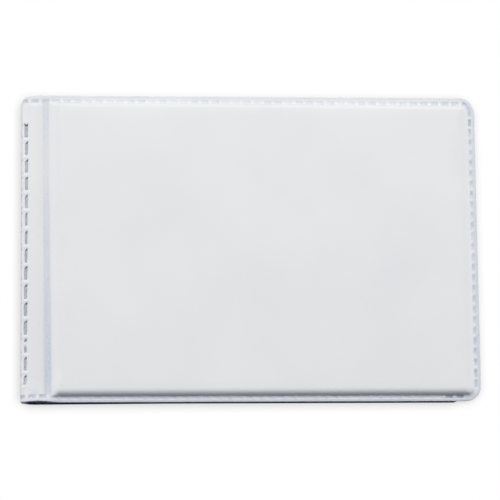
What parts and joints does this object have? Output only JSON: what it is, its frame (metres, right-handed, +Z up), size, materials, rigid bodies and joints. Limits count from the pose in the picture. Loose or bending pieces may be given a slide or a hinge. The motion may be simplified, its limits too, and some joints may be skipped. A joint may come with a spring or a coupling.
{
  "type": "business card book",
  "caption": "Pocket-size card book: heat-sealed white vinyl cover with board panels, hinge grooves and stitched-look edge welds, over clear pocket leaves that turn at the spine.",
  "frame": {"origin": "under the middle of the closed book, on the surface it lies on", "axes": "+X from the spine to the fore edge, +Y along the spine to the open tops of the pockets, +Z up through the closed book"},
  "size_m": [0.109, 0.073, 0.0063],
  "materials": {
    "cover_vinyl": "matte white",
    "liner_vinyl": "matte white",
    "greyboard": "raw",
    "clear_film": "clear gloss",
    "seal_film": "clear, pressed"
  },
  "bodies": {
    "spine": {"spine_skin": "cover_vinyl", "spine_liner": "liner_vinyl", "leaf_binding": "seal_film"},
    "front_cover": {"front_skin": "cover_vinyl", "front_board": "greyboard", "front_liner": "liner_vinyl"},
    "back_cover": {"back_skin": "cover_vinyl", "back_board": "greyboard", "back_liner": "liner_vinyl"},
    "leaf_01": {"leaf_01_front_film": "clear_film", "leaf_01_back_film": "clear_film", "leaf_01_heat_seals": "seal_film"},
    "leaf_02": {"leaf_02_front_film": "clear_film", "leaf_02_back_film": "clear_film", "leaf_02_heat_seals": "seal_film"},
    "leaf_03": {"leaf_03_front_film": "clear_film", "leaf_03_back_film": "clear_film", "leaf_03_heat_seals": "seal_film"},
    "leaf_04": {"leaf_04_front_film": "clear_film", "leaf_04_back_film": "clear_film", "leaf_04_heat_seals": "seal_film"},
    "leaf_05": {"leaf_05_front_film": "clear_film", "leaf_05_back_film": "clear_film", "leaf_05_heat_seals": "seal_film"},
    "leaf_06": {"leaf_06_front_film": "clear_film", "leaf_06_back_film": "clear_film", "leaf_06_heat_seals": "seal_film"},
    "leaf_07": {"leaf_07_front_film": "clear_film", "leaf_07_back_film": "clear_film", "leaf_07_heat_seals": "seal_film"},
    "leaf_08": {"leaf_08_front_film": "clear_film", "leaf_08_back_film": "clear_film", "leaf_08_heat_seals": "seal_film"},
    "leaf_09": {"leaf_09_front_film": "clear_film", "leaf_09_back_film": "clear_film", "leaf_09_heat_seals": "seal_film"},
    "leaf_10": {"leaf_10_front_film": "clear_film", "leaf_10_back_film": "clear_film", "leaf_10_heat_seals": "seal_film"}
  },
  "joints": [
    {"name": "front_cover_hinge", "type": "hinge", "parent": "spine", "child": "front_cover", "pos_m": [-0.0484, 0, 0.0059], "axis": [0, -1, 0], "range_deg": [0, 180]},
    {"name": "back_cover_hinge", "type": "hinge", "parent": "spine", "child": "back_cover", "pos_m": [-0.0484, 0, 0.00035], "axis": [0, 1, 0], "range_deg": [0, 180]},
    {"name": "leaf_01_turn", "type": "hinge", "parent": "spine", "child": "leaf_01", "pos_m": [-0.0484, 0, 0.0059], "axis": [0, -1, 0], "range_deg": [0, 163.65]},
    {"name": "leaf_02_turn", "type": "hinge", "parent": "spine", "child": "leaf_02", "pos_m": [-0.0484, 0, 0.0059], "axis": [0, -1, 0], "range_deg": [0, 147.28]},
    {"name": "leaf_03_turn", "type": "hinge", "parent": "spine", "child": "leaf_03", "pos_m": [-0.0484, 0, 0.0059], "axis": [0, -1, 0], "range_deg": [0, 130.92]},
    {"name": "leaf_04_turn", "type": "hinge", "parent": "spine", "child": "leaf_04", "pos_m": [-0.0484, 0, 0.0059], "axis": [0, -1, 0], "range_deg": [0, 114.56]},
    {"name": "leaf_05_turn", "type": "hinge", "parent": "spine", "child": "leaf_05", "pos_m": [-0.0484, 0, 0.0059], "axis": [0, -1, 0], "range_deg": [0, 98.19]},
    {"name": "leaf_06_turn", "type": "hinge", "parent": "spine", "child": "leaf_06", "pos_m": [-0.0484, 0, 0.0059], "axis": [0, -1, 0], "range_deg": [0, 81.83]},
    {"name": "leaf_07_turn", "type": "hinge", "parent": "spine", "child": "leaf_07", "pos_m": [-0.0484, 0, 0.0059], "axis": [0, -1, 0], "range_deg": [0, 65.46]},
    {"name": "leaf_08_turn", "type": "hinge", "parent": "spine", "child": "leaf_08", "pos_m": [-0.0484, 0, 0.0059], "axis": [0, -1, 0], "range_deg": [0, 49.1]},
    {"name": "leaf_09_turn", "type": "hinge", "parent": "spine", "child": "leaf_09", "pos_m": [-0.0484, 0, 0.0059], "axis": [0, -1, 0], "range_deg": [0, 32.74]},
    {"name": "leaf_10_turn", "type": "hinge", "parent": "spine", "child": "leaf_10", "pos_m": [-0.0484, 0, 0.0059], "axis": [0, -1, 0], "range_deg": [0, 16.37]}
  ],
  "couplings": [
    {"joint": "leaf_01_turn", "follows": "front_cover_hinge", "ratio": 0.90909},
    {"joint": "leaf_02_turn", "follows": "front_cover_hinge", "ratio": 0.81818},
    {"joint": "leaf_03_turn", "follows": "front_cover_hinge", "ratio": 0.72727},
    {"joint": "leaf_04_turn", "follows": "front_cover_hinge", "ratio": 0.63636},
    {"joint": "leaf_05_turn", "follows": "front_cover_hinge", "ratio": 0.54546},
    {"joint": "leaf_06_turn", "follows": "front_cover_hinge", "ratio": 0.45454},
    {"joint": "leaf_07_turn", "follows": "front_cover_hinge", "ratio": 0.36364},
    {"joint": "leaf_08_turn", "follows": "front_cover_hinge", "ratio": 0.27273},
    {"joint": "leaf_09_turn", "follows": "front_cover_hinge", "ratio": 0.18182},
    {"joint": "leaf_10_turn", "follows": "front_cover_hinge", "ratio": 0.090909}
  ]
}
